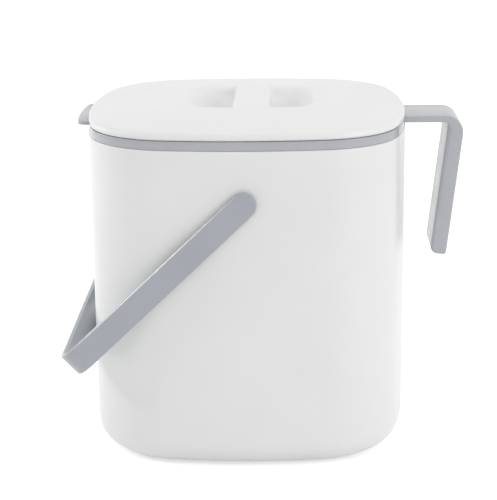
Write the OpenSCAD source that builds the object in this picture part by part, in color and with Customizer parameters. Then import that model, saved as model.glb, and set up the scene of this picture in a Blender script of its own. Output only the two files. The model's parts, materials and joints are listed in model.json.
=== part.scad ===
/* [Overall] */
// Width over the outer bin's side walls at the rim
body_w = 194; // [150:1:240]
// Depth over the outer bin's front and back walls at the rim
body_d = 190; // [150:1:240]
// Height of the outer bin
bin_h = 193.4; // [150:0.1:240]
// Corner radius of the plan outline
corner_r = 53; // [40:1:60]
// How far the front and back walls bow outwards
crown_front = 2.8; // [1.5:0.1:6]
// How far the side walls bow outwards
crown_side = 4.3; // [1.5:0.1:6]

/* [Outer bin] */
// Wall thickness of the outer bin
bin_wall = 2.4; // [1.8:0.1:3]
// Floor thickness of the outer bin
bin_floor = 3; // [2:0.1:5]
// How far each wall leans in from rim to floor
side_taper = 0.2; // [0:0.05:6]
// Width of the rounded bottom edge, measured along the floor
base_round_w = 20; // [10:1:26]
// Height of the rounded bottom edge, measured up the wall
base_round_h = 15; // [8:1:26]
// Radius of the bright edge round the rim
rim_round = 0.8; // [0.4:0.1:1]

/* [Bail handle] */
// Distance from the bin's rim down to the pivot
pivot_drop = 30.7; // [22:0.1:45]
// Width of the flat strap
strap_w = 15.2; // [12:0.1:20]
// Thickness of the flat strap
strap_t = 3.2; // [2.8:0.1:5]
// How far the crosspiece's outer face reaches past the side grip
bail_past = 12.3; // [9:0.1:30]
// Outer radius of the two corners between arms and crosspiece
bail_corner_r = 14; // [6:1:24]
// Chamfer along the crosspiece's inner edges, which rest against the bin
bail_chamfer = 0.8; // [0.2:0.1:1.2]
// Gap between each arm and the widest line of the lid
arm_gap = 0.8; // [0.5:0.1:3]
// Gap between the resting crosspiece and the side wall
rest_gap = 0.3; // [0.2:0.1:1]
// Radius of the pivot pins
pin_r = 2.5; // [2:0.1:3.5]
// Radial running clearance of the pins in the bin wall
pin_clear = 0.06; // [0.02:0.01:0.1]
// Depth of the blind socket that each pin is pressed into
socket_depth = 2; // [1.5:0.1:2.4]
// Radius of the pin heads inside the bin
pin_head_r = 4.6; // [4:0.1:6]
// Thickness of the pin heads
pin_head_t = 1.8; // [1.2:0.1:2.4]
// Radius of the bosses that carry the pins
boss_r = 6.5; // [5:0.1:7.5]
// How far the bosses stand proud inside the bin wall
boss_rise = 0.8; // [0.4:0.1:1.2]

/* [Inner bucket] */
// Height of the grey rim band
band_h = 5.1; // [4.4:0.1:8]
// How far the band stands back from the widest line
band_inset = 0.5; // [0.3:0.1:1]
// Wall thickness of the bucket
bucket_wall = 2.2; // [1.6:0.1:3]
// Clear space between the bin wall and the bucket wall
bucket_clear = 5.2; // [4.6:0.1:8]
// Gap between the bin floor and the bucket floor
floor_gap = 6; // [2:0.5:12]
// Rounding of the bucket's bottom edge
bucket_round = 16; // [8:1:22]
// Height of the rib under the band that centres the bucket
locating_rib_h = 4.5; // [2:0.1:8]
// Thickness of that rib
locating_rib_t = 1.6; // [1.2:0.1:2]
// Width of the pouring tab
tab_w = 62; // [40:1:80]
// How far the tab reaches past the side wall
tab_reach = 6.4; // [4:0.1:14]
// Thickness of the tab
tab_t = 2.1; // [1.5:0.1:4]
// Corner radius of the tab
tab_corner_r = 6; // [3:0.5:8]

/* [Side grip] */
// Width of the stem and grip
grip_w = 38; // [28:1:50]
// Thickness of the flat stem
stem_t = 4; // [3:0.1:4.8]
// How far the outside of the grip stands from the side wall, at the bend
grip_reach = 34.6; // [30:0.1:45]
// Thickness of the grip
grip_t = 9.8; // [7:0.1:14]
// Length of the grip from the stem's top to its lower end
grip_l = 86.5; // [60:0.5:110]
// How far the grip leans in, in degrees
grip_lean = 6.8; // [0:0.1:10]
// Outer radius of the bend
bend_r = 10.5; // [8:0.5:16]
// Rounding of the grip's lower end towards the bin
grip_end_r = 4; // [2:0.5:4.5]
// Rounding of the grip's lower end on its outside
grip_heel_r = 2; // [1:0.5:4.5]

/* [Lid] */
// Height of the lid's outer edge
lid_edge_h = 4.5; // [4:0.1:8]
// Rounding of the top edge of the lid
lid_edge_r = 3.4; // [1:0.1:3.6]
// How much the top rises towards the middle
lid_crown = 5.3; // [0:0.1:8]
// Wall thickness of the lid cover
lid_wall = 2.2; // [1.6:0.1:2.6]
// Height of the shadow groove between lid and band
groove_h = 0.8; // [0.5:0.1:1.5]
// Depth of the shadow groove
groove_d = 1; // [0.6:0.1:1.4]
// Half the width of the scoop that the two finger pockets share
pocket_r = 38; // [30:0.5:46]
// How far the scoop lies from the lid's middle towards the grip
pocket_x = 3; // [-6:0.5:6]
// Depth of the scoop at its middle
pocket_depth = 16; // [8:0.5:17]
// Width of the bridge between the pockets
bridge_w = 22; // [14:1:30]
// Depth of the closed plug under the lid, below the band's top
plug_depth = 13; // [13:0.5:20]
// Clear space between the plug and the bucket, which the seal fills
plug_clear = 2.4; // [1.6:0.1:3]
// Wall thickness of the plug
plug_wall = 2; // [1.5:0.1:3]
// Height of the seal
seal_h = 2.2; // [1.6:0.1:4]
// Thickness of the seal's lip at its edge
seal_lip_t = 0.6; // [0.4:0.1:1]

/* [Hidden] */

// Gap between pieces that rest on each other but come apart
seat_gap = 0.3;
// Gap between pieces of one assembly
snug_gap = 0.1;
// How far one solid reaches into another that it is one piece with
bite = 0.5;
// How far a cut runs past the surface that it opens
past = 5;
// Small chamfer on the moulded edges
soft_edge = 0.4;
// Facets of a full circle
smooth = 96;

// The plan outline is eight arcs, tangent where they meet: a corner arc of
// corner_r at each corner and a flatter arc along each side.
half_w = body_w/2;
half_d = body_d/2;
corner_x = half_w - corner_r - crown_side;
corner_y = half_d - corner_r - crown_front;
front_r = (pow(corner_x, 2) + pow(corner_r + crown_front, 2) - pow(corner_r, 2))/(2*crown_front);
side_r = (pow(corner_y, 2) + pow(corner_r + crown_side, 2) - pow(corner_r, 2))/(2*crown_side);
front_a = atan2(corner_y + front_r - half_d, corner_x);
side_a = atan2(corner_y, corner_x + side_r - half_w);
corner_steps = 10;
side_steps = 4;

function arc(c, r, from, to, steps) =
  [for (k = [0:steps - 1]) c + r*[cos(from + (to - from)*k/steps), sin(from + (to - from)*k/steps)]];

// The plan outline moved inwards, anticlockwise from the right
function outline(inset) = concat(
  arc([half_w - side_r, 0], side_r - inset, -side_a, side_a, side_steps),
  arc([corner_x, corner_y], corner_r - inset, side_a, front_a, corner_steps),
  arc([0, half_d - front_r], front_r - inset, front_a, 180 - front_a, side_steps),
  arc([-corner_x, corner_y], corner_r - inset, 180 - front_a, 180 - side_a, corner_steps),
  arc([side_r - half_w, 0], side_r - inset, 180 - side_a, 180 + side_a, side_steps),
  arc([-corner_x, -corner_y], corner_r - inset, 180 + side_a, 180 + front_a, corner_steps),
  arc([0, front_r - half_d], front_r - inset, 180 + front_a, 360 - front_a, side_steps),
  arc([corner_x, -corner_y], corner_r - inset, 360 - front_a, 360 - side_a, corner_steps));

// A ring is [inset, height], or [inset, height, scale] for the domed top
function ring_points(r) =
  [for (p = outline(r[0])) [p.x*(len(r) > 2 ? r[2] : 1), p.y*(len(r) > 2 ? r[2] : 1), r[1]]];

// A skin through the rings, from the outer underside up to the upper face.
// A closed one joins its last ring to its first.
module loft(rings, closed = false) {
  n = len(outline(0));
  m = len(rings);
  sides = [for (i = [0:m - (closed ? 1 : 2)], k = [0:n - 1])
    let (j = (i + 1)%m, l = (k + 1)%n) [i*n + k, j*n + k, j*n + l, i*n + l]];
  caps = closed ? [] : [[for (k = [0:n - 1]) k], [for (k = [n - 1:-1:0]) (m - 1)*n + k]];
  polyhedron([for (r = rings) each ring_points(r)], concat(sides, caps), convexity = 10);
}

// A quarter of an ellipse in ring form, from the floor to the wall
function bottom_round(inset, z, w, h, steps = 6) =
  [for (k = [0:steps]) [inset + w*(1 - sin(90*k/steps)), z + h*(1 - cos(90*k/steps))]];
function upside_down(list) = [for (i = [len(list) - 1:-1:0]) list[i]];

// Outer bin
function wall_inset(z) = side_taper*(1 - z/bin_h);
// The floor of a wall that keeps its thickness round the bottom edge
inner_round_w = base_round_w - bin_wall;
inner_round_h = base_round_h - bin_floor;
rim_mid = rim_round*(1 - cos(45));
bin_rings = concat(
  bottom_round(wall_inset(base_round_h), 0, base_round_w, base_round_h),
  [[0, bin_h - rim_round], [rim_mid, bin_h - rim_mid], [rim_round, bin_h],
   [bin_wall - rim_round, bin_h], [bin_wall, bin_h - rim_round]],
  upside_down(bottom_round(wall_inset(base_round_h) + bin_wall, bin_floor, inner_round_w, inner_round_h)));

// Pivots
pivot_z = bin_h - pivot_drop;
arm_in = half_d + arm_gap;
arm_out = arm_in + strap_t;
wall_y = half_d - wall_inset(pivot_z);
boss_out = arm_in - seat_gap;
boss_in = wall_y - bin_wall - boss_rise;
head_out = boss_in - seat_gap;

// A cylinder along Y, between two distances in front of the middle
module peg(r, near, far)
  translate([0, -near, pivot_z]) rotate([90, 0, 0]) cylinder(r = r, h = far - near, $fn = smooth);

module both_sides() for (side = [0, 1]) mirror([0, side, 0]) children();

module outer_bin() color([0.90, 0.90, 0.89]) difference() {
  union() {
    loft(bin_rings);
    both_sides() peg(boss_r, boss_in, boss_out);
  }
  both_sides() peg(pin_r + pin_clear, boss_in - bite, boss_out + bite);
}

// At rest the lower chamfer of the crosspiece lies against the leaning side
// wall, so the angle below the horizontal follows from where the two meet
bail_reach = half_w + grip_reach + bail_past;
bail_in = bail_reach - strap_t;
wall_lean = atan2(side_taper, bin_h);
rest_x = half_w - wall_inset(pivot_z) + rest_gap;
function angle_at(x, y) = wall_lean + acos(rest_x*cos(wall_lean)/norm([x, y])) - atan2(y, x);
rest_angle = min(angle_at(bail_in, strap_w/2 - bail_chamfer), angle_at(bail_in + bail_chamfer, strap_w/2));

module rounded_plate(x0, x1, half, r) {
  translate([x0, -half + r]) square([x1 - x0, 2*half - 2*r]);
  translate([x0, -half]) square([x1 - x0 - r, 2*half]);
  for (y = [-1, 1]) translate([x1 - r, y*(half - r)]) circle(r = r, $fn = smooth);
}

// The bent strap, lying flat with its pivot at the origin
module strap() intersection() {
  translate([0, 0, -strap_w/2]) linear_extrude(strap_w) difference() {
    rounded_plate(-strap_w, bail_reach, arm_out, bail_corner_r);
    rounded_plate(-strap_w - bite, bail_in, arm_in, bail_corner_r - strap_t);
  }
  rotate([90, 0, 0]) translate([0, 0, -arm_out - bite]) linear_extrude(2*arm_out + 2*bite) {
    circle(r = strap_w/2, $fn = smooth);
    translate([0, -strap_w/2]) square([bail_reach + bite, strap_w]);
  }
}
module chamfers() for (z = [-strap_w/2, strap_w/2])
  translate([bail_in, 0, z]) rotate([0, 45, 0])
    cube([bail_chamfer*sqrt(2), 2*(arm_out - bail_corner_r), bail_chamfer*sqrt(2)], center = true);

module bail_handle() color([0.66, 0.67, 0.70]) difference() {
  translate([0, 0, pivot_z]) rotate([0, 180 - rest_angle, 0]) difference() {
    strap();
    chamfers();
  }
  both_sides() peg(pin_r, arm_in - bite, arm_in + socket_depth);
}

module pivot_pin() color([0.62, 0.63, 0.66]) {
  peg(pin_head_r, head_out - pin_head_t, head_out);
  peg(pin_r, head_out - pin_head_t/2, arm_in + socket_depth);
}
module pivot_pin_front() pivot_pin();
module pivot_pin_back() mirror([0, 1, 0]) pivot_pin();

// Inner bucket
band_z = bin_h + seat_gap;
band_top = band_z + band_h;
bucket_z = bin_floor + floor_gap;
bucket_inset = bin_wall + bucket_clear;
bucket_floor_z = bucket_z + bucket_wall;
mouth_inset = bucket_inset + bucket_wall;
rib_inset = bin_wall + 2*seat_gap;
bucket_low_inset = bucket_inset + wall_inset(bucket_z + bucket_round);
bucket_rings = concat(
  bottom_round(bucket_low_inset, bucket_z, bucket_round, bucket_round),
  [[bucket_inset, band_z],
   [rib_inset + locating_rib_t, band_z], [rib_inset + locating_rib_t, band_z - locating_rib_h],
   [rib_inset, band_z - locating_rib_h], [rib_inset, band_z],
   [band_inset + soft_edge, band_z], [band_inset, band_z + soft_edge],
   [band_inset, band_top - soft_edge], [band_inset + soft_edge, band_top],
   [mouth_inset - soft_edge, band_top], [mouth_inset, band_top - soft_edge]],
  upside_down(bottom_round(bucket_low_inset + bucket_wall, bucket_floor_z,
                           bucket_round - bucket_wall, bucket_round - bucket_wall)));

// The stem and grip, drawn from the side, with the stem's top at zero height
grip_x = half_w + grip_reach;
stem_root_x = half_w - mouth_inset/2;
lean = [-sin(grip_lean), -cos(grip_lean)];
across = [-cos(grip_lean), sin(grip_lean)];
bend_c = [grip_x - bend_r, -bend_r];
outer_top = bend_c - bend_r*across;
outer_end = outer_top + lean*(grip_l - bend_r);
inner_end = outer_end + across*grip_t;
inner_top = inner_end + lean*((inner_end.y + stem_t)/cos(grip_lean));
stem_end = bend_c.x - bite;
function end_round(c, r, turn) = arc(c, r, -turn - grip_lean, -90 - turn - grip_lean, 6);
module side_grip() translate([0, grip_w/2, band_top]) rotate([90, 0, 0]) linear_extrude(grip_w) {
  translate([stem_root_x, -stem_t]) square([bend_c.x - stem_root_x, stem_t]);
  polygon(concat([inner_top, [stem_end, -stem_t], [stem_end, 0]],
                 arc(bend_c, bend_r, 90, -grip_lean, 12), [outer_top],
                 end_round(outer_end + grip_heel_r*(across - lean), grip_heel_r, 0),
                 end_round(inner_end - grip_end_r*(across + lean), grip_end_r, 90),
                 [inner_end - grip_end_r*lean]));
}

// The tab's edge runs parallel to the side wall's arc
module tab_edge() intersection() {
  translate([0, -tab_w/2]) square([body_w, tab_w]);
  translate([half_w - side_r, 0]) circle(r = side_r + tab_reach, $fn = 4*smooth);
}
module tab_plan() intersection() {
  translate([stem_root_x, -tab_w/2]) square([body_w, tab_w]);
  offset(r = tab_corner_r, $fn = smooth) offset(delta = -tab_corner_r) tab_edge();
}
module pouring_tab() translate([0, 0, band_top - tab_t]) linear_extrude(tab_t) mirror([1, 0]) tab_plan();

module inner_bucket() color([0.68, 0.69, 0.72]) {
  loft(bucket_rings);
  side_grip();
  pouring_tab();
}

// Lid
lid_foot = band_top + seat_gap;
lid_low = band_top + groove_h;
lid_edge_top = lid_low + lid_edge_h;
lid_inset = 0.2;
lid_skin_inset = lid_inset + lid_edge_r;
foot_in = lid_inset + lid_wall + groove_d;
land_z = lid_edge_top - lid_wall;
plug_inset = mouth_inset + plug_clear;
land_reach = 1;
land_in = plug_inset + plug_wall + land_reach;
function dome(scale) = lid_edge_top + lid_crown*(1 - scale*scale);
dome_steps = 7;
function dome_ring(k, drop) =
  let (scale = (k + 0.5)/dome_steps) [lid_skin_inset, dome(scale) - drop, scale];
lid_rings = concat(
  [for (k = [0:dome_steps - 2]) dome_ring(k, lid_wall)],
  [[land_in, land_z], [foot_in, land_z], [foot_in, lid_foot], [lid_inset + groove_d, lid_foot],
   [lid_inset + groove_d, lid_low], [lid_inset + soft_edge, lid_low], [lid_inset, lid_low + soft_edge]],
  [for (a = [0:15:90]) [lid_inset + lid_edge_r*(1 - cos(a)), lid_edge_top - lid_edge_r*(1 - sin(a))]],
  [for (k = [dome_steps - 1:-1:0]) dome_ring(k, 0)]);

// The scoop is a bowl: it has the plan outline's shape with smaller corners,
// and half an ellipse for its profile
pocket_top = dome(pocket_r/half_w);
pocket_inset = 27;
pocket_half = half_w - pocket_inset;
web_top = pocket_top - lid_wall/2;
bowl_steps = 8;
module bowl(grow, top) loft(concat(
  [for (a = [90/bowl_steps:90/bowl_steps:90])
    [pocket_inset, pocket_top - (pocket_depth + grow)*cos(a), (pocket_r + grow)*sin(a)/pocket_half]],
  [[pocket_inset, top, (pocket_r + grow)/pocket_half]]));
module slab(w, z0, z1) translate([-w/2, -half_d, z0]) cube([w, body_d, z1 - z0]);
module bowl_wall() translate([pocket_x, 0, 0]) difference() {
  intersection() {
    bowl(lid_wall, pocket_top + past);
    slab(body_w, 0, web_top);
  }
  slab(bridge_w - 2*lid_wall, 0, web_top + bite);
}
module pockets() translate([pocket_x, 0, 0]) difference() {
  bowl(0, dome(0) + past);
  slab(bridge_w, 0, dome(0) + 2*past);
}
module lid_cover() color([0.93, 0.93, 0.92]) difference() {
  union() {
    loft(lid_rings);
    bowl_wall();
  }
  pockets();
}

plug_z = band_top - plug_depth;
seal_z = band_top - (plug_depth - seal_h)/2 - seal_h;
seal_bite = 0.9;
plug_chamfer = 1;
module lid_inner_plate() color([0.85, 0.85, 0.84]) loft([
  [plug_inset + plug_chamfer, plug_z], [plug_inset, plug_z + plug_chamfer],
  [plug_inset, seal_z], [plug_inset + seal_bite, seal_z],
  [plug_inset + seal_bite, seal_z + seal_h], [plug_inset, seal_z + seal_h],
  [plug_inset, land_z - snug_gap], [plug_inset + plug_wall, land_z - snug_gap],
  [plug_inset + plug_wall, plug_z + plug_wall]]);

seal_lip = mouth_inset + seat_gap;
module lid_seal() color([0.55, 0.56, 0.58]) loft([
  [plug_inset, seal_z + snug_gap], [seal_lip, seal_z + (seal_h - seal_lip_t)/2],
  [seal_lip, seal_z + (seal_h + seal_lip_t)/2], [plug_inset, seal_z + seal_h - snug_gap],
  [plug_inset + seal_bite - snug_gap, seal_z + seal_h - snug_gap],
  [plug_inset + seal_bite - snug_gap, seal_z + snug_gap]], closed = true);

outer_bin();
bail_handle();
pivot_pin_front();
pivot_pin_back();
inner_bucket();
lid_cover();
lid_inner_plate();
lid_seal();
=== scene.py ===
import json
import math
import bpy
import numpy as np
from mathutils import Matrix, Vector


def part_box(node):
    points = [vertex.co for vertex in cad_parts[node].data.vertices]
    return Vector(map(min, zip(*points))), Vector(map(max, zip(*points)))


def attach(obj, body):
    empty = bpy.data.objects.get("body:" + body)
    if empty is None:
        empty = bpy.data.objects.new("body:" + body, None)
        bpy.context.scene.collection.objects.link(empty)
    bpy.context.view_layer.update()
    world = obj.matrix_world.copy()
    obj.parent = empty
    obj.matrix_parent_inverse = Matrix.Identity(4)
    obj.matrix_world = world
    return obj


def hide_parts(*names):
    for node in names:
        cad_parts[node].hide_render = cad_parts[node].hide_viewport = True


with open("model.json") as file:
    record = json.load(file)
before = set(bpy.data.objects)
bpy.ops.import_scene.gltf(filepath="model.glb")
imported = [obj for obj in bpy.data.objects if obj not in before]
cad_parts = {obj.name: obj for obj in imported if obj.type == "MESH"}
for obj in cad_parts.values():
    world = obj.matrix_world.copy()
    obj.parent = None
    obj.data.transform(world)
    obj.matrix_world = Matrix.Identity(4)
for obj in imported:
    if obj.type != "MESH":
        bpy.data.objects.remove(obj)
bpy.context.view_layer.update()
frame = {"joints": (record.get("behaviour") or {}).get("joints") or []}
scene = bpy.context.scene
print("frame loaded")

# Sizes are in metres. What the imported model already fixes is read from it.
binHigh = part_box("outer_bin")[1]
bandLow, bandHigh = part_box("inner_bucket")
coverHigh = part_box("lid_cover")[1]
plateLow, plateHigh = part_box("lid_inner_plate")
sealLow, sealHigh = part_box("lid_seal")
strapLow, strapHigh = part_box("bail_handle")
pinLow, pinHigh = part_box("pivot_pin_front")
pivot = Vector(next(j["pos_m"] for j in frame["joints"] if j["name"] == "bail_swing"))

# Plan outline: eight arcs, tangent where they meet
plan = {
    "halfWidth": binHigh.x,
    "halfDepth": bandHigh.y + 0.0005,    # the band stands back by that much
    "cornerRadius": 0.053,
    "frontCrown": 0.0028,                # how far front and back bow outwards
    "sideCrown": 0.0043,
    "sideSteps": 8,
    "cornerSteps": 26,
    "frontSteps": 12,
}
cornerX = plan["halfWidth"] - plan["cornerRadius"] - plan["sideCrown"]
cornerY = plan["halfDepth"] - plan["cornerRadius"] - plan["frontCrown"]


def crownRadius(offset, crown):
    flat = plan["cornerRadius"] + crown
    return (offset**2 + flat**2 - plan["cornerRadius"]**2) / (2*crown)


frontRadius = crownRadius(cornerX, plan["frontCrown"])
sideRadius = crownRadius(cornerY, plan["sideCrown"])
sideX = plan["halfWidth"] - sideRadius      # centres of the two flat arcs
frontY = plan["halfDepth"] - frontRadius
sideAngle = math.atan2(cornerY, cornerX - sideX)
frontAngle = math.atan2(cornerY - frontY, cornerX)


# Small helpers for working in edit mode
sharpAngle = math.radians(50)          # a sharper edge than this takes a bevel
selectModes = {"edges": "EDGE", "polygons": "FACE"}


def startPiece(name):
    bpy.ops.object.select_all(action="DESELECT")
    bpy.ops.mesh.primitive_plane_add(size=0.01)
    piece = bpy.context.object
    piece.name = piece.data.name = name
    bpy.ops.object.mode_set(mode="EDIT")
    bpy.ops.mesh.select_mode(type="VERT")
    bpy.ops.mesh.select_all(action="SELECT")
    bpy.ops.mesh.merge(type="CENTER")          # one point to draw with
    return piece


def drawTo(step):
    bpy.ops.mesh.extrude_region_move(TRANSFORM_OT_translate={"value": step})


def pick(piece, kind, test):
    # Selects edges or faces by their place or normal
    bpy.ops.object.mode_set(mode="EDIT")
    bpy.ops.mesh.select_mode(type=selectModes[kind])
    bpy.ops.mesh.select_all(action="DESELECT")
    bpy.ops.object.mode_set(mode="OBJECT")
    for part in getattr(piece.data, kind):
        part.select = test(part)
    bpy.ops.object.mode_set(mode="EDIT")


def applyAll(piece):
    bpy.ops.object.mode_set(mode="OBJECT")
    bpy.ops.object.select_all(action="DESELECT")
    piece.select_set(True)
    bpy.context.view_layer.objects.active = piece
    for modifier in list(piece.modifiers):
        bpy.ops.object.modifier_apply(modifier=modifier.name)


def closeSkin(piece):
    # Merges doubles and turns the faces of a closed skin outwards
    bpy.ops.object.mode_set(mode="EDIT")
    bpy.ops.mesh.select_mode(type="VERT")
    bpy.ops.mesh.select_all(action="SELECT")
    bpy.ops.mesh.remove_doubles(threshold=1e-6)
    bpy.ops.mesh.normals_make_consistent(inside=False)
    bpy.ops.object.mode_set(mode="OBJECT")


def arcPoints(centre, radius, start, end, steps):
    angles = [start + (end - start)*k/steps for k in range(steps + 1)]
    return [(centre[0] + radius*math.cos(a), centre[1] + radius*math.sin(a)) for a in angles]


def rounded(corners, steps=5):
    # A profile with its corners rounded: each corner is (inset, height, radius)
    points = []
    for i, (u, z, radius) in enumerate(corners):
        if not radius:
            points.append((u, z))
            continue
        here = Vector((u, z))
        back = (Vector(corners[i - 1][:2]) - here).normalized()
        on = (Vector(corners[(i + 1) % len(corners)][:2]) - here).normalized()
        half = back.angle(on)/2
        centre = here + (back + on).normalized()*radius/math.sin(half)
        first = here + back*radius/math.tan(half) - centre
        last = here + on*radius/math.tan(half) - centre
        start = math.atan2(first.y, first.x)
        turn = (math.atan2(last.y, last.x) - start + math.pi) % (2*math.pi) - math.pi
        points += arcPoints(centre, radius, start, start + turn, steps)
    return points


def sweep(name, profile, ring=False):
    # Draws a profile of (inset, height) at the right, spins it round the arcs
    # of one quarter of the plan and mirrors the quarter twice
    piece = startPiece(name)
    bpy.ops.transform.translate(value=(plan["halfWidth"] - profile[0][0], 0, profile[0][1]))
    path = profile[1:] + profile[:1] if ring else profile[1:]
    for (u0, z0), (u1, z1) in zip(profile, path):
        drawTo((u0 - u1, 0, z1 - z0))
    bpy.ops.mesh.select_all(action="SELECT")
    for centre, angle, steps in (((sideX, 0, 0), sideAngle, plan["sideSteps"]),
                                 ((cornerX, -cornerY, 0), frontAngle - sideAngle, plan["cornerSteps"]),
                                 ((0, -frontY, 0), math.pi/2 - frontAngle, plan["frontSteps"])):
        bpy.ops.mesh.spin(steps=steps, angle=angle, center=centre, axis=(0, 0, 1))
    bpy.ops.object.mode_set(mode="OBJECT")
    mirror = piece.modifiers.new("quarters", "MIRROR")
    mirror.use_axis = (True, True, False)
    mirror.use_clip = True
    mirror.merge_threshold = 1e-5
    applyAll(piece)
    return piece


def openLoop(piece, height):
    # The free edges at one height
    counts = {}
    for face in piece.data.polygons:
        for key in face.edge_keys:
            counts[key] = counts.get(key, 0) + 1
    level = {point.index for point in piece.data.vertices if abs(point.co.z - height) < 1e-6}
    keys = {key for key, count in counts.items() if count == 1 and level.issuperset(key)}
    return lambda edge: tuple(sorted(edge.vertices)) in keys


def capLoop(piece, height, insets=(0.003, 0.012)):
    # Closes a flat end, with inset rings so that the rounding beside it shades evenly
    pick(piece, "edges", openLoop(piece, height))
    bpy.ops.mesh.edge_face_add()
    for inset in insets:
        bpy.ops.mesh.inset(thickness=inset)
    bpy.ops.object.mode_set(mode="OBJECT")


def finishPiece(piece, node, body, material, angle=40):
    bpy.ops.object.mode_set(mode="OBJECT")
    bpy.ops.object.select_all(action="DESELECT")
    piece.select_set(True)
    bpy.context.view_layer.objects.active = piece
    bpy.ops.object.shade_smooth_by_angle(angle=math.radians(angle))
    piece.data.materials.clear()
    piece.data.materials.append(material)
    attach(piece, body)
    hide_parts(node)
    print(piece.name, len(piece.data.vertices), "points")


def useTool(piece, tool, operation):
    # Joins or cuts a piece with another solid, which is then gone
    modifier = piece.modifiers.new("tool", "BOOLEAN")
    modifier.operation = operation
    modifier.solver = "EXACT"
    modifier.object = tool
    applyAll(piece)
    bpy.data.objects.remove(tool)


def roundEdges(piece, width, segments=3, limit="ANGLE", shape=0.5):
    bpy.ops.object.mode_set(mode="OBJECT")
    bevel = piece.modifiers.new("edges", "BEVEL")
    bevel.profile = shape
    bevel.width = width
    bevel.segments = segments
    bevel.limit_method = limit
    bevel.angle_limit = sharpAngle
    applyAll(piece)


def addPeg(radius, near, far, side, roundSides=64):
    # A cylinder along Y on the pivot line, between two distances from the middle
    bpy.ops.object.select_all(action="DESELECT")
    bpy.ops.mesh.primitive_cylinder_add(vertices=roundSides, radius=radius, depth=far - near,
                                        rotation=(math.pi/2, 0, 0),
                                        location=(pivot.x, side*(near + far)/2, pivot.z))
    return bpy.context.object


# Outer bin: a tapered shell with a rounded bottom edge and two pivot bosses
binSizes = {
    "wall": 0.0024,
    "floor": 0.003,
    "taper": 0.0002,           # how far each wall leans in from rim to floor
    "roundWidth": 0.020,
    "roundHeight": 0.015,
    "rimRound": 0.0008,
    "bossRadius": 0.0065,
    "bossRise": 0.0008,        # how far a boss stands proud inside
    "boreRadius": 0.00256,
    "borePast": 0.002,         # how far the bore's cutter reaches past both ends
    "evenRings": (0.018, 0.06, 0.11),      # heights of rings that keep the shading even
    "bossSpace": 0.009,        # two more rings, above and below the bosses
    "rimSpace": 0.006,         # and one below the rim
}
rim = binHigh.z


def wallInset(z):
    return binSizes["taper"]*(1 - z/rim)


def bottomCurve(inset, z, width, height, steps=12):
    # A quarter of an ellipse from the floor up to the wall
    angles = [math.pi/2*k/steps for k in range(steps + 1)]
    return [(inset + width*(1 - math.sin(a)), z + height*(1 - math.cos(a))) for a in angles]


def wallPoints(low, high, heights):
    # Extra points up a straight wall, so that its shading stays even
    return [(low[0] + (high[0] - low[0])*(z - low[1])/(high[1] - low[1]), z) for z in heights]


def makeBin():
    s = binSizes
    low = (wallInset(s["roundHeight"]), s["roundHeight"])
    outerTop = (0, rim - 2*s["rimRound"])
    innerTop = (s["wall"], rim - 2*s["rimRound"])
    innerLow = (low[0] + s["wall"], low[1])
    heights = [*s["evenRings"], pivot.z - s["bossSpace"], pivot.z + s["bossSpace"], rim - s["rimSpace"]]
    outer = bottomCurve(low[0], 0, s["roundWidth"], s["roundHeight"]) + wallPoints(low, outerTop, heights)
    top = rounded([(*outerTop, 0), (0, rim, s["rimRound"]), (s["wall"], rim, s["rimRound"]), (*innerTop, 0)])
    inner = wallPoints(innerLow, innerTop, heights[::-1])
    inner += bottomCurve(innerLow[0], s["floor"], s["roundWidth"] - s["wall"],
                         s["roundHeight"] - s["floor"])[::-1]
    piece = sweep("bin_shell", outer + top + inner)
    capLoop(piece, 0)
    capLoop(piece, s["floor"])
    closeSkin(piece)
    wallY = plan["halfDepth"] - wallInset(pivot.z)
    bossIn = wallY - s["wall"] - s["bossRise"]
    for side in (-1, 1):
        useTool(piece, addPeg(s["bossRadius"], bossIn, binHigh.y, side), "UNION")
        cutter = addPeg(s["boreRadius"], bossIn - s["borePast"], binHigh.y + s["borePast"], side)
        useTool(piece, cutter, "DIFFERENCE")
    return piece


# Bail: a flat strap bent round two corners, with round ends on the pivots
strapSizes = {
    "width": 0.0152,
    "thickness": 0.0032,
    "reach": 0.1439,           # pivot to the crosspiece's outer face
    "cornerRadius": 0.014,
    "edgeRound": 0.0008,
    "restRound": 0.0013,       # on the crosspiece's inner edges, which lie against the bin
    "roundSides": 72,          # of a full circle at the ends
    "armSteps": 12,
    "cornerSteps": 14,
    "crossSteps": 8,           # to the middle of the crosspiece
}


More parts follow.
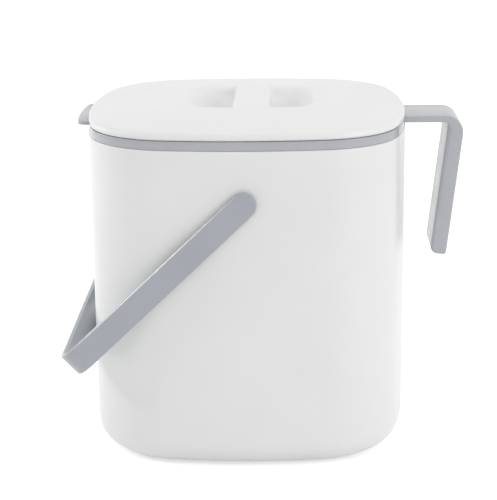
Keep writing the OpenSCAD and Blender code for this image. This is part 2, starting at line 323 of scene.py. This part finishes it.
def makeBail():
    s = strapSizes
    armOut = strapHigh.y
    straight = s["reach"] - s["cornerRadius"]
    bpy.ops.object.select_all(action="DESELECT")
    bpy.ops.mesh.primitive_cylinder_add(vertices=s["roundSides"], radius=s["width"]/2, depth=s["thickness"],
                                        rotation=(math.pi/2, 0, 0),
                                        location=(0, s["thickness"]/2 - armOut, 0))
    piece = bpy.context.object
    piece.name = piece.data.name = "bail_strap"
    bpy.ops.object.transform_apply(location=True, rotation=True, scale=True)
    bpy.ops.object.mode_set(mode="EDIT")
    bpy.ops.mesh.select_all(action="SELECT")
    bpy.ops.mesh.bisect(plane_co=(0, 0, 0), plane_no=(1, 0, 0), use_fill=True, clear_outer=True)
    pick(piece, "polygons", lambda f: f.normal.x > 0.9 and abs(f.center.x) < 1e-6)
    for k in range(s["armSteps"]):
        drawTo((straight/s["armSteps"], 0, 0))
    bpy.ops.mesh.spin(steps=s["cornerSteps"], angle=-math.pi/2, axis=(0, 0, 1),
                      center=(straight, s["cornerRadius"] - armOut, 0))
    for k in range(s["crossSteps"]):
        drawTo((0, (armOut - s["cornerRadius"])/s["crossSteps"], 0))
    bpy.ops.mesh.delete(type="ONLY_FACE")
    bpy.ops.object.mode_set(mode="OBJECT")
    mirror = piece.modifiers.new("other arm", "MIRROR")
    mirror.use_axis = (False, True, False)
    mirror.use_clip = True
    mirror.merge_threshold = 1e-5
    applyAll(piece)
    closeSkin(piece)
    half = s["width"]/2
    inner = s["reach"] - s["thickness"]
    share = s["edgeRound"]/s["restRound"]                  # the other edges take less of the bevel
    bpy.ops.object.mode_set(mode="EDIT")
    bpy.ops.mesh.select_mode(type="EDGE")
    bpy.ops.mesh.select_all(action="DESELECT")
    bpy.ops.mesh.edges_select_sharp(sharpness=sharpAngle)
    bpy.ops.transform.edge_bevelweight(value=share)
    points = piece.data.vertices

    def liesOnBin(edge):
        ends = [points[i].co for i in edge.vertices]
        return all(abs(end.x - inner) < 1e-5 and abs(abs(end.z) - half) < 1e-5 for end in ends)

    pick(piece, "edges", liesOnBin)
    bpy.ops.transform.edge_bevelweight(value=1 - share)
    # Flat chamfers, which catch the light
    roundEdges(piece, s["restRound"], segments=2, limit="WEIGHT", shape=0.25)
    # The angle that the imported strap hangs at, from how far left its end comes
    hang = math.atan2(half, s["reach"]) + math.acos(-strapLow.x/math.hypot(s["reach"], half))
    piece.location = pivot
    piece.rotation_euler = (0, math.pi - hang, 0)
    bpy.ops.object.transform_apply(location=True, rotation=True, scale=True)
    return piece


# Pivot pins: a head inside the bin, a shank through the boss into the strap
pinSizes = {"radius": 0.0025, "headRadius": pinHigh.x, "headThickness": 0.0018, "edgeRound": 0.0004}


def makePin(side):
    s = pinSizes
    headOut = -pinHigh.y + s["headThickness"]
    piece = addPeg(s["radius"], headOut, -pinLow.y, side)
    piece.name = piece.data.name = "pin_front" if side < 0 else "pin_back"
    bpy.ops.object.transform_apply(location=True, rotation=True, scale=True)
    bpy.ops.object.mode_set(mode="EDIT")
    pick(piece, "polygons", lambda f: f.normal.y*side < -0.9)
    drawTo((0, 0, 0))
    grow = s["headRadius"]/s["radius"]
    bpy.ops.transform.resize(value=(grow, 1, grow), center_override=(pivot.x, side*headOut, pivot.z))
    drawTo((0, -side*s["headThickness"], 0))
    roundEdges(piece, s["edgeRound"])
    closeSkin(piece)
    return piece


# Inner bucket: a tub hung by its rim band, with a side grip and a pouring tab
bucketSizes = {
    "wall": 0.0022,
    "inset": 0.0076,           # bin wall and the clear space inside it
    "bottomRound": 0.016,
    "bandInset": 0.0005,
    "bandHeight": 0.0051,
    "bandSeat": 0.0002,        # how far its foot sinks into the gap over the bin's rim
    "edgeRound": 0.0004,
    "ribInset": 0.003,
    "ribThickness": 0.0016,
    "ribHeight": 0.0045,
    "softRound": 0.0006,       # corners of the neck and the rib
    "tightRound": 0.0003,
    "footSpace": 0.004,        # first ring above the rounded bottom
    "evenRings": (0.07, 0.13, 0.18),       # heights of rings that keep the shading even
    "neckRing": 0.186,
}
bandTop = bandHigh.z
bandFoot = bandTop - bucketSizes["bandHeight"] - bucketSizes["bandSeat"]
mouthInset = bucketSizes["inset"] + bucketSizes["wall"]
gripSizes = {
    "width": 0.038,
    "stem": 0.004,
    "thickness": 0.0098,
    "length": 0.0865,          # from the stem's top to the lower end
    "lean": math.radians(6.8),
    "bendRadius": 0.0105,
    "endRound": 0.004,         # at the lower end, towards the bin
    "heelRound": 0.002,        # and on its outside
    "cornerRound": 0.002,
    "edgeRound": 0.0009,
    "palmRound": 0.003,        # softer edges towards the hand
    "palmMargin": 0.0002,      # an edge this near the inner face is one of them
    "fade": 0.002,             # they end over this height under the stem
}
tabSizes = {
    "width": 0.062,
    "thickness": 0.0021,
    "cornerRadius": 0.006,
    "edgeRound": 0.0005,
    "cornerSteps": 8,
    "tipSteps": 16,
}


def extrudeOutline(name, outline, depth):
    # Draws an outline of (x, z) points, fills it and gives it a depth along Y
    piece = startPiece(name)
    bpy.ops.transform.translate(value=(outline[0][0], -depth/2, outline[0][1]))
    for (x0, z0), (x1, z1) in zip(outline, outline[1:]):
        drawTo((x1 - x0, 0, z1 - z0))
    bpy.ops.mesh.select_all(action="SELECT")
    bpy.ops.mesh.edge_face_add()
    drawTo((0, depth, 0))
    closeSkin(piece)
    return piece


def makeGrip():
    s = gripSizes
    along = Vector((-math.sin(s["lean"]), -math.cos(s["lean"])))      # down the grip
    across = Vector((-math.cos(s["lean"]), math.sin(s["lean"])))      # towards the bin
    bend = Vector((bandHigh.x - s["bendRadius"], bandTop - s["bendRadius"]))
    outerTop = bend - across*s["bendRadius"]
    corner = outerTop + along*((bandTop - outerTop.y)/along.y)
    outerEnd = outerTop + along*(s["length"] - s["bendRadius"])
    innerEnd = outerEnd + across*s["thickness"]
    stemFoot = bandTop - s["stem"]
    innerTop = innerEnd + along*((stemFoot - innerEnd.y)/along.y)
    root = plan["halfWidth"] - mouthInset/2
    outline = rounded([(root, bandTop, 0), (*corner, s["bendRadius"]), (*outerEnd, s["heelRound"]),
                       (*innerEnd, s["endRound"]), (*innerTop, s["cornerRound"]), (root, stemFoot, 0)],
                      steps=10)
    piece = extrudeOutline("bucket_grip", outline, s["width"])
    weights = piece.data.attributes.new("bevel_weight_edge", "FLOAT", "EDGE")
    points = piece.data.vertices
    hard = s["edgeRound"]/s["palmRound"]
    for edge in piece.data.edges:
        a, b = (points[i].co for i in edge.vertices)
        if abs(a.y - b.y) > 1e-6:
            continue
        middle = (a + b)/2
        fromEnd = Vector((middle.x, middle.z)) - innerEnd
        inside = fromEnd.dot(across)                   # 0 on the inner face
        height = fromEnd.dot(along)
        soft = 0
        if inside > -s["palmMargin"]:
            soft = 1
        elif height > -s["endRound"]:                  # fades out round the lower end
            soft = max(0, 1 + inside/s["endRound"])
        if middle.z > stemFoot - s["fade"]:
            soft = max(0, min(soft, (stemFoot - middle.z)/s["fade"]))
        weights.data[edge.index].value = hard + (1 - hard)*soft
    roundEdges(piece, s["palmRound"], segments=5, limit="WEIGHT")
    return piece


def makeTab():
    s = tabSizes
    root = -(plan["halfWidth"] - mouthInset/2)
    half, r = s["width"]/2, s["cornerRadius"]
    tipRadius = -sideX - bandLow.x                  # parallel to the side wall's arc
    cornerAt = math.sqrt((tipRadius - r)**2 - (half - r)**2)
    swing = math.atan2(half - r, cornerAt)
    piece = startPiece("bucket_tab")
    centreX = -sideX - cornerAt
    turns = s["cornerSteps"]
    outline = [(root, half)] + arcPoints((centreX, half - r), r, math.pi/2, math.pi - swing, turns)
    outline += arcPoints((-sideX, 0), tipRadius, math.pi - swing, math.pi + swing, s["tipSteps"])[1:]
    outline += arcPoints((centreX, r - half), r, math.pi + swing, math.pi*3/2, turns)[1:] + [(root, -half)]
    bpy.ops.transform.translate(value=(outline[0][0], outline[0][1], bandTop - s["thickness"]))
    for (x0, y0), (x1, y1) in zip(outline, outline[1:]):
        drawTo((x1 - x0, y1 - y0, 0))
    bpy.ops.mesh.select_all(action="SELECT")
    bpy.ops.mesh.edge_face_add()
    drawTo((0, 0, s["thickness"]))
    closeSkin(piece)
    roundEdges(piece, s["edgeRound"])
    return piece


def makeBucket():
    s = bucketSizes
    floor, edge = bandLow.z, s["edgeRound"]
    low = (s["inset"] + wallInset(floor + s["bottomRound"]), floor + s["bottomRound"])
    neck = (s["inset"], bandFoot)
    ribIn = s["ribInset"] + s["ribThickness"]
    ribFoot = bandFoot - s["ribHeight"]
    innerLow = (low[0] + s["wall"], low[1])
    mouth = (mouthInset, bandTop - 2*edge)
    heights = [low[1] + s["footSpace"], *s["evenRings"]]
    outer = bottomCurve(low[0], floor, s["bottomRound"], s["bottomRound"]) + wallPoints(low, neck, heights)
    soft, tight = s["softRound"], s["tightRound"]
    band = rounded([(*wallPoints(low, neck, [s["neckRing"]])[0], 0), (*neck, soft),
                    (ribIn, bandFoot, soft), (ribIn, ribFoot, tight),
                    (s["ribInset"], ribFoot, soft), (s["ribInset"], bandFoot, tight),
                    (s["bandInset"], bandFoot, edge), (s["bandInset"], bandTop, edge),
                    (mouthInset, bandTop, edge), (*mouth, 0)], steps=4)
    inner = wallPoints(innerLow, mouth, heights[::-1])
    insideRound = s["bottomRound"] - s["wall"]
    inner += bottomCurve(innerLow[0], floor + s["wall"], insideRound, insideRound)[::-1]
    piece = sweep("bucket_body", outer + band + inner)
    capLoop(piece, floor)
    capLoop(piece, floor + s["wall"])
    closeSkin(piece)
    useTool(piece, makeGrip(), "UNION")
    useTool(piece, makeTab(), "UNION")
    return piece


# Lid cover: a rim swept round the plan, a domed top and one squarish scoop that
# a bridge divides into two finger pockets
lidSizes = {
    "foot": 0.0003,            # the foot's gap over the band
    "groove": 0.0008,          # height of the shadow groove
    "grooveDepth": 0.001,
    "inset": 0.0002,
    "edgeHeight": 0.0045,
    "edgeRadius": 0.0034,
    "lowerRound": 0.0008,
    "landRound": 0.0004,       # the small corners under the rim
    "footRound": 0.0003,
    "grooveRound": 0.0002,
    "wall": 0.0022,
    "landInset": 0.0152,       # the flat underside that the plate meets
    "scoopX": 0.003,           # its middle, towards the grip
    "scoopHalf": 0.038,        # half its width
    "scoopInset": 0.027,       # how far in the plan outline has the scoop's corners
    "scoopDepth": 0.016,
    "bridgeWidth": 0.022,
    "bridgeDraft": math.radians(3),
    "edgeFillet": 0.003,       # where the pockets meet the top
    "deepFillet": 0.002,       # where they meet the bridge's foot
    "patch": 0.044,            # half of the fine grid over the scoop
    "underStep": 0.0013,
    "topStep": 0.0007,
    "wallStep": 0.0003,        # across the bridge's walls
    "wallBefore": 0.0035,      # close columns start this far inside the bridge's edge
    "wallAfter": 0.005,        # and end this far outside
    # Rings from the rim in to the patches, as shares of the plan
    "topRings": [1 - 0.012*k for k in range(1, 9)] + [0.87, 0.83, 0.78, 0.74, 0.70, 0.66],
    "underRings": [0.98, 0.955, 0.92, 0.88, 0.84, 0.80, 0.765],
    "underReach": 0.83,        # the underside follows the dome within this share
    "below": 0.03,             # where the skin is searched for, from the edge's top
    "above": 0.02,
}
lidLow = bandTop + lidSizes["groove"]
edgeTop = lidLow + lidSizes["edgeHeight"]
skinInset = lidSizes["inset"] + lidSizes["edgeRadius"]
crown = coverHigh.z - edgeTop


def outlineReach(x, y, inset):
    # Distance from the middle to the plan outline along each point's direction
    angle = np.arctan2(np.abs(y), np.abs(x))
    c, s = np.cos(angle), np.sin(angle)

    def hit(centre, radius):
        along = c*centre[0] + s*centre[1]
        return along + np.sqrt(along**2 - centre[0]**2 - centre[1]**2 + radius**2)

    r = plan["cornerRadius"] - inset
    turn = [math.atan2(cornerY + r*math.sin(a), cornerX + r*math.cos(a)) for a in (sideAngle, frontAngle)]
    corner = hit((cornerX, cornerY), r)
    side = hit((sideX, 0), sideRadius - inset)
    front = hit((0, frontY), frontRadius - inset)
    return np.where(angle < turn[0], side, np.where(angle > turn[1], front, corner))


def domeHeight(x, y):
    scale = np.hypot(x, y)/outlineReach(x, y, skinInset)
    return edgeTop + crown*(1 - scale**2)


def blend(a, b, radius):
    # The larger of two distances, with the crease between them rounded
    crease = np.hypot(np.maximum(radius + a, 0), np.maximum(radius + b, 0))
    return np.minimum(-radius, np.maximum(a, b)) + crease


def lidField(x, y, z):
    # Below zero inside the moulding: under the dome, and outside the scoop or in the bridge
    s = lidSizes
    rimZ = edgeTop + crown*(1 - (s["scoopHalf"]/plan["halfWidth"])**2)
    dx = x - s["scoopX"]
    rimReach = outlineReach(dx, y, s["scoopInset"])*s["scoopHalf"]/(plan["halfWidth"] - s["scoopInset"])
    out = np.hypot(dx, y)/rimReach + 1e-6              # 1 at the scoop's rim
    down = np.maximum(rimZ - z, 0)/s["scoopDepth"]     # 1 at its lowest point
    spread = np.hypot(out, down)
    bowl = (1 - spread)*spread/np.hypot(out/s["scoopHalf"], down/s["scoopDepth"])
    bridge = np.abs(dx) - s["bridgeWidth"]/2 - (rimZ - z)*math.tan(s["bridgeDraft"])
    bridge = bridge*math.cos(s["bridgeDraft"])
    hollow = -blend(-bowl, -bridge, s["deepFillet"])
    return blend(z - domeHeight(x, y), hollow, s["edgeFillet"])


def skinHeight(x, y, depth):
    # Height of the skin, or of the surface that lies under it by a depth
    low = np.full_like(x, edgeTop - lidSizes["below"])
    high = np.full_like(x, edgeTop + lidSizes["above"])
    for k in range(40):                                # halves the span each time
        middle = (low + high)/2
        inside = lidField(x, y, middle) < -depth
        low = np.where(inside, middle, low)
        high = np.where(inside, high, middle)
    return (low + high)/2


def steps(start, end, size):
    count = max(1, round((end - start)/size))
    return [start + (end - start)*k/count for k in range(count)]


def makePatch(name, step):
    # A flat grid over the scoop, with close columns where the bridge's walls stand
    s = lidSizes
    half, wall = s["patch"], s["bridgeWidth"]/2
    start, end = wall - s["wallBefore"], wall + s["wallAfter"]
    side = steps(0, start, step) + steps(start, end, s["wallStep"]) + steps(end, half, step) + [half]
    columns = [-v for v in side[:0:-1]] + side
    piece = startPiece(name)
    bpy.ops.transform.translate(value=(s["scoopX"] + columns[0], -half, edgeTop))
    for a, b in zip(columns, columns[1:]):
        drawTo((b - a, 0, 0))
    rows = round(2*half/step)
    bpy.ops.mesh.select_all(action="SELECT")
    for k in range(rows):
        drawTo((0, 2*half/rows, 0))
    bpy.ops.object.mode_set(mode="OBJECT")
    return piece


def addPatch(piece, patch, height):
    # Joins a patch to the lid and fills the ring between their free edges
    bpy.ops.object.select_all(action="DESELECT")
    for part in (patch, piece):
        part.select_set(True)
    bpy.context.view_layer.objects.active = piece
    bpy.ops.object.join()
    pick(piece, "edges", openLoop(piece, height))
    bpy.ops.mesh.fill(use_beauty=True)
    bpy.ops.object.mode_set(mode="OBJECT")


def shrinkRings(piece, scales, height):
    # Carries the free loop at one height inwards, ring by ring
    pick(piece, "edges", openLoop(piece, height))
    last = 1
    for scale in scales:
        drawTo((0, 0, 0))
        bpy.ops.transform.resize(value=(scale/last, scale/last, 1), center_override=(0, 0, 0))
        last = scale
    bpy.ops.object.mode_set(mode="OBJECT")


def makeLid():
    s = lidSizes
    landZ = edgeTop - s["wall"]
    footIn = s["inset"] + s["wall"] + s["grooveDepth"]
    grooveIn = s["inset"] + s["grooveDepth"]
    footZ = bandTop + s["foot"]
    rimProfile = rounded([(s["landInset"], landZ, 0), (footIn, landZ, s["landRound"]),
                          (footIn, footZ, s["footRound"]), (grooveIn, footZ, s["grooveRound"]),
                          (grooveIn, lidLow, s["grooveRound"]), (s["inset"], lidLow, s["lowerRound"]),
                          (s["inset"], edgeTop, s["edgeRadius"]), (skinInset, edgeTop, 0)], steps=8)
    piece = sweep("lid_shell", rimProfile[:-1])
    shrinkRings(piece, s["topRings"], edgeTop)
    shrinkRings(piece, s["underRings"], landZ)
    addPatch(piece, makePatch("patch_top", s["topStep"]), edgeTop)
    under = makePatch("patch_under", s["underStep"])
    under.location.z = -s["wall"]
    bpy.ops.object.transform_apply(location=True)
    addPatch(piece, under, landZ)
    mesh = piece.data
    place = np.empty(len(mesh.vertices)*3)
    mesh.vertices.foreach_get("co", place)
    place = place.reshape(-1, 3)
    reach = np.hypot(place[:, 0], place[:, 1])/outlineReach(place[:, 0], place[:, 1], 0)
    top = np.abs(place[:, 2] - edgeTop) < 1e-6
    under = (np.abs(place[:, 2] - landZ) < 1e-6) & (reach < s["underReach"])
    for group, depth in ((top, 0), (under, s["wall"])):
        place[group, 2] = skinHeight(place[group, 0], place[group, 1], depth)
    mesh.vertices.foreach_set("co", place.ravel())
    closeSkin(piece)
    return piece


# Inner plate and its seal, under the lid
plateSizes = {
    "wall": 0.002,
    "chamfer": 0.001,
    "grooveDepth": 0.0009,     # for the seal's root
    "grooveRound": 0.0002,
    "topRound": 0.0004,
    "insideRound": 0.0012,
    "floorInset": 0.012,       # where the flat floor is capped
}
sealSizes = {"lip": 0.0006, "foot": 0.0001, "rootRound": 0.0002, "bodyRound": 0.0004, "lipRound": 0.00025}


def makePlate():
    s = plateSizes
    inset = plan["halfWidth"] - plateHigh.x
    low, high = plateLow.z, plateHigh.z
    grooveLow, grooveHigh = sealLow.z - sealSizes["foot"], sealHigh.z + sealSizes["foot"]
    deep = inset + s["grooveDepth"]
    small, top = s["grooveRound"], s["topRound"]
    profile = rounded([(inset + s["floorInset"], low, 0), (inset, low, s["chamfer"]),
                       (inset, grooveLow, small), (deep, grooveLow, small),
                       (deep, grooveHigh, small), (inset, grooveHigh, small),
                       (inset, high, top), (inset + s["wall"], high, top),
                       (inset + s["wall"], low + s["wall"], s["insideRound"]),
                       (inset + s["floorInset"], low + s["wall"], 0)], steps=4)
    piece = sweep("plate_shell", profile)
    capLoop(piece, low)
    capLoop(piece, low + s["wall"])
    closeSkin(piece)
    return piece


def makeSeal():
    s = sealSizes
    lipInset = plan["halfWidth"] - sealHigh.x
    rootInset = plan["halfWidth"] - plateHigh.x + plateSizes["grooveDepth"] - s["foot"]
    bodyInset = plan["halfWidth"] - plateHigh.x
    middle = (sealLow.z + sealHigh.z)/2
    profile = rounded([(rootInset, sealLow.z, s["rootRound"]), (bodyInset, sealLow.z, s["bodyRound"]),
                       (lipInset, middle - s["lip"]/2, s["lipRound"]),
                       (lipInset, middle + s["lip"]/2, s["lipRound"]),
                       (bodyInset, sealHigh.z, s["bodyRound"]), (rootInset, sealHigh.z, s["rootRound"])],
                      steps=4)
    piece = sweep("seal_ring", profile, ring=True)
    closeSkin(piece)
    return piece


# Moulded plastics: a colour with a faint cloudiness, a roughness that wanders a
# little, a soft waviness from the mould and its fine grain
whitePlastic = {"colour": (0.855, 0.858, 0.852), "shade": 0.98, "roughness": (0.30, 0.36), "specular": 0.5,
                "waviness": 0.00001, "grain": 0.0000008}
lidPlastic = {"colour": (0.870, 0.872, 0.868), "shade": 0.985, "roughness": (0.30, 0.36), "specular": 0.5,
              "waviness": 0.00001, "grain": 0.0000025}
bailPlastic = {"colour": (0.380, 0.404, 0.448), "shade": 0.95, "roughness": (0.20, 0.27), "specular": 0.9,
               "waviness": 0.00001, "grain": 0.000004}
bucketPlastic = {"colour": (0.455, 0.470, 0.500), "shade": 0.95, "roughness": (0.19, 0.26), "specular": 0.7,
                 "waviness": 0.00001, "grain": 0.000004}
pinPlastic = {"colour": (0.375, 0.390, 0.420), "shade": 0.92, "roughness": (0.42, 0.55), "specular": 0.45,
              "waviness": 0.00001, "grain": 0.000016}
platePlastic = {"colour": (0.800, 0.802, 0.792), "shade": 0.97, "roughness": (0.42, 0.52), "specular": 0.45,
                "waviness": 0.00003, "grain": 0.000016}
sealRubber = {"colour": (0.300, 0.310, 0.330), "shade": 0.90, "roughness": (0.55, 0.68), "specular": 0.4,
              "waviness": 0.00002, "grain": 0.000020}
patterns = {                   # each noise's scale per metre, detail and roughness
    "clouds": (22, 3, 0.5),
    "polish": (90, 4, 0.6),
    "waviness": (60, 1, 0.4),
    "grain": (1800, 2, 0.5),
}
cloudEnds = (0.35, 0.65)       # the noise that gives the darker and the lighter shade
polishEnds = (0.3, 0.7)        # and the smoother and the rougher patches


def addNoise(tree, place, pattern):
    noise = tree.nodes.new("ShaderNodeTexNoise")
    for socket, value in zip(("Scale", "Detail", "Roughness"), patterns[pattern]):
        noise.inputs[socket].default_value = value
    tree.links.new(place, noise.inputs["Vector"])
    return noise.outputs["Fac"]


def addBump(tree, height, distance, below=None):
    bump = tree.nodes.new("ShaderNodeBump")
    bump.inputs["Strength"].default_value = 1
    bump.inputs["Distance"].default_value = distance
    tree.links.new(height, bump.inputs["Height"])
    if below:
        tree.links.new(below, bump.inputs["Normal"])
    return bump.outputs["Normal"]


def makePlastic(name, s):
    material = bpy.data.materials.new(name)
    material.use_nodes = True
    tree = material.node_tree
    shader = tree.nodes["Principled BSDF"]
    place = tree.nodes.new("ShaderNodeTexCoord").outputs["Object"]
    ramp = tree.nodes.new("ShaderNodeValToRGB")
    for end, at, shade in zip(ramp.color_ramp.elements, cloudEnds, (s["shade"], 1)):
        end.position = at
        end.color = (*(c*shade for c in s["colour"]), 1)
    tree.links.new(addNoise(tree, place, "clouds"), ramp.inputs["Fac"])
    tree.links.new(ramp.outputs["Color"], shader.inputs["Base Color"])
    polish = tree.nodes.new("ShaderNodeMapRange")
    for socket, value in zip(("From Min", "From Max", "To Min", "To Max"), (*polishEnds, *s["roughness"])):
        polish.inputs[socket].default_value = value
    tree.links.new(addNoise(tree, place, "polish"), polish.inputs["Value"])
    tree.links.new(polish.outputs["Result"], shader.inputs["Roughness"])
    shader.inputs["Specular IOR Level"].default_value = s["specular"]
    waves = addBump(tree, addNoise(tree, place, "waviness"), s["waviness"])
    grain = addBump(tree, addNoise(tree, place, "grain"), s["grain"], waves)
    tree.links.new(grain, shader.inputs["Normal"])
    return material


binWhite = makePlastic("bin white moulding", whitePlastic)
lidWhite = makePlastic("lid white moulding", lidPlastic)
bailGrey = makePlastic("bail grey moulding", bailPlastic)
bucketGrey = makePlastic("bucket grey moulding", bucketPlastic)
pinGrey = makePlastic("pin grey plastic", pinPlastic)
plateWhite = makePlastic("plate white plastic", platePlastic)
sealGrey = makePlastic("seal grey rubber", sealRubber)
print("materials made")

finishPiece(makeBin(), "outer_bin", "bin", binWhite)
finishPiece(makeBail(), "bail_handle", "bail", bailGrey)
finishPiece(makePin(-1), "pivot_pin_front", "bail", pinGrey)
finishPiece(makePin(1), "pivot_pin_back", "bail", pinGrey)
finishPiece(makeBucket(), "inner_bucket", "bucket", bucketGrey)
finishPiece(makeLid(), "lid_cover", "lid", lidWhite, angle=60)
finishPiece(makePlate(), "lid_inner_plate", "lid", plateWhite)
finishPiece(makeSeal(), "lid_seal", "lid", sealGrey)

# Camera: the angle, distance and lens worked out from the photograph
cameraSetup = {
    "lens": 118.8,
    "distance": 1.0472,
    "elevation": math.radians(15.943),
    "turn": math.radians(1.760),           # towards the grip
    "roll": math.radians(-0.648),
    "middle": (0, 0, 0.100),
    "aim": (-0.0003, 0, 0.10976),
}


def makeCamera():
    s = cameraSetup
    flat = s["distance"]*math.cos(s["elevation"])
    camera = bpy.data.objects.new("camera", bpy.data.cameras.new("camera"))
    camera.data.lens = s["lens"]
    camera.location = Vector(s["middle"]) + Vector((flat*math.sin(s["turn"]), -flat*math.cos(s["turn"]),
                                                    s["distance"]*math.sin(s["elevation"])))
    look = (Vector(s["aim"]) - camera.location).to_track_quat("-Z", "Y").to_matrix().to_4x4()
    camera.rotation_euler = (look @ Matrix.Rotation(s["roll"], 4, "Z")).to_euler()
    scene.collection.objects.link(camera)
    scene.camera = camera


# Light: a pale studio with soft lamps and a floor that stays white
studio = {
    "sky": 0.675,
    "floorSize": 6,
    "floorDrop": 0.0005,       # under the bin, so that the two faces don't meet
    "floorColour": (0.93, 0.93, 0.93),
    "floorRoughness": 0.9,
    "floorGlow": 0.46,
    "lampAim": (0, 0, 0.1),
    "keyPower": 5.1, "keySize": 0.7, "keyPlace": (1.25, -0.85, 0.72),
    "fillPower": 1.5, "fillSize": 0.24, "fillPlace": (-1.18, -0.29, 0.80),
    "sidePower": 2.4, "sideSize": 0.6, "sidePlace": (-1.20, 0.45, 0.50),
    "topPower": 1.9, "topSize": 1.0, "topPlace": (0.1, 0.1, 1.5),
}


def addLamp(name):
    lamp = bpy.data.objects.new(name, bpy.data.lights.new(name, "AREA"))
    lamp.data.shape = "DISK"
    lamp.data.energy = studio[name + "Power"]
    lamp.data.size = studio[name + "Size"]
    lamp.location = studio[name + "Place"]
    lamp.rotation_euler = (Vector(studio["lampAim"]) - lamp.location).to_track_quat("-Z", "Y").to_euler()
    scene.collection.objects.link(lamp)


def seenDirectly(tree):
    # One for camera, glossy and transmission rays, else zero
    rays = tree.nodes.new("ShaderNodeLightPath").outputs
    total = rays["Is Camera Ray"]
    for kind in ("Is Glossy Ray", "Is Transmission Ray"):
        both = tree.nodes.new("ShaderNodeMath")
        both.operation = "MAXIMUM"
        tree.links.new(total, both.inputs[0])
        tree.links.new(rays[kind], both.inputs[1])
        total = both.outputs[0]
    return total


def makeStudio():
    world = bpy.data.worlds.new("studio")
    scene.world = world
    world.use_nodes = True
    tree = world.node_tree
    strength = tree.nodes.new("ShaderNodeMapRange")
    strength.inputs["To Min"].default_value = studio["sky"]
    strength.inputs["To Max"].default_value = 1
    tree.links.new(seenDirectly(tree), strength.inputs["Value"])
    tree.nodes["Background"].inputs["Color"].default_value = (1, 1, 1, 1)
    tree.links.new(strength.outputs["Result"], tree.nodes["Background"].inputs["Strength"])
    bpy.ops.object.select_all(action="DESELECT")
    bpy.ops.mesh.primitive_plane_add(size=studio["floorSize"], location=(0, 0, -studio["floorDrop"]))
    floor = bpy.context.object
    floor.name = "floor"
    material = bpy.data.materials.new("pale floor")
    material.use_nodes = True
    tree = material.node_tree
    shader = tree.nodes["Principled BSDF"]
    shader.inputs["Base Color"].default_value = (*studio["floorColour"], 1)
    shader.inputs["Roughness"].default_value = studio["floorRoughness"]
    shader.inputs["Specular IOR Level"].default_value = 0
    shader.inputs["Emission Color"].default_value = (1, 1, 1, 1)
    glow = tree.nodes.new("ShaderNodeMath")
    glow.operation = "MULTIPLY"
    glow.inputs[1].default_value = studio["floorGlow"]
    tree.links.new(seenDirectly(tree), glow.inputs[0])
    tree.links.new(glow.outputs[0], shader.inputs["Emission Strength"])
    floor.data.materials.append(material)
    for name in ("key", "fill", "side", "top"):
        addLamp(name)


makeCamera()
makeStudio()
scene.view_settings.view_transform = "Standard"
print("camera and lights set")
